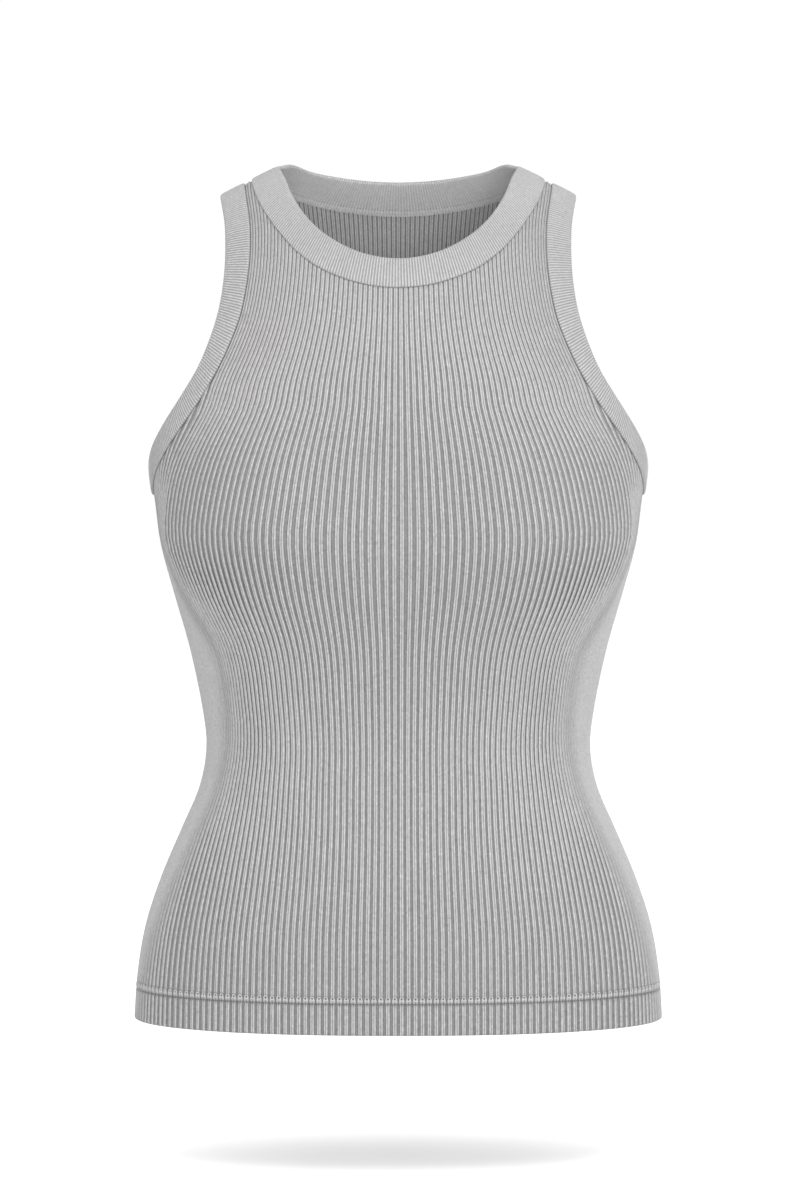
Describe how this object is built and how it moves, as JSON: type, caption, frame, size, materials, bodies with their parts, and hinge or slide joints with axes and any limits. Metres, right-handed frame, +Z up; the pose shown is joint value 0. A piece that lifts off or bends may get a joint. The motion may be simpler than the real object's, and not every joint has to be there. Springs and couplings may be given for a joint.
{
  "type": "ribbed tank top",
  "caption": "Fitted ribbed knit tank top, filled out and empty, with a scooped neck, folded fine-rib bands at neck and armholes and a turned-up hem.",
  "frame": {"origin": "midway between the shoulders, at the height of the neck end of the shoulder seams on the inside of the cloth, where a wearer's shoulders carry it", "axes": "+Z up, the front of the garment faces -Y, +X is to the right of someone who looks at the front"},
  "size_m": [0.3272, 0.2341, 0.5289],
  "materials": {
    "body_rib": "matte two by two rib knit in heather grey",
    "band_rib": "matte fine rib knit in heather grey"
  },
  "bodies": {
    "root": {"front_panel": "body_rib", "back_panel": "body_rib", "neck_band": "band_rib", "armhole_band_left": "band_rib", "armhole_band_right": "band_rib"}
  },
  "joints": []
}
